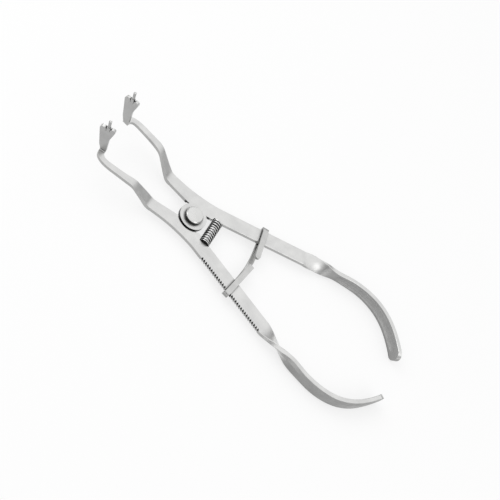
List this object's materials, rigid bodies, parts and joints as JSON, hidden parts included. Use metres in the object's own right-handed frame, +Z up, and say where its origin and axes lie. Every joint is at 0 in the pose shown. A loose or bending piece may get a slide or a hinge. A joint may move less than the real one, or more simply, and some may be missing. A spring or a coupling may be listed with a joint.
{
  "type": "rubber dam clamp forceps",
  "caption": "Dental forceps that spread a rubber dam clamp: squeezing the channelled handles parts the pegged jaws, and a sliding lock on a toothed edge holds them.",
  "frame": {"origin": "centre of the lowest level of the forceps' bounding box, as it lies flat with the tips up", "axes": "+X along the length from the tips to the handles, +Z up along the pivot, +Y towards the arm whose ear lies in front"},
  "size_m": [0.1736, 0.064, 0.0311],
  "materials": {
    "steel": "satin stainless steel",
    "rivet_steel": "turned satin stainless steel",
    "spring_steel": "bright drawn spring wire",
    "lock_steel": "satin stainless strip"
  },
  "bodies": {
    "lower": {"lower_arm": "steel", "pivot_rivet": "rivet_steel", "return_spring": "spring_steel"},
    "upper": {"upper_arm": "steel"},
    "lock": {"sliding_lock": "lock_steel"}
  },
  "joints": [
    {"name": "pivot_squeeze", "type": "hinge", "parent": "lower", "child": "upper", "pos_m": [-0.03156, 0, 0.004], "axis": [0, 0, -1], "range_deg": [0, 9], "stiffness_Nm_per_rad": 0.36, "springref_deg": -11.46, "deforming": ["return_spring"]},
    {"name": "lock_slide", "type": "slide", "parent": "lower", "child": "lock", "axis": [0.9583, -0.2857, 0], "range_m": [-0.015, 0]}
  ]
}
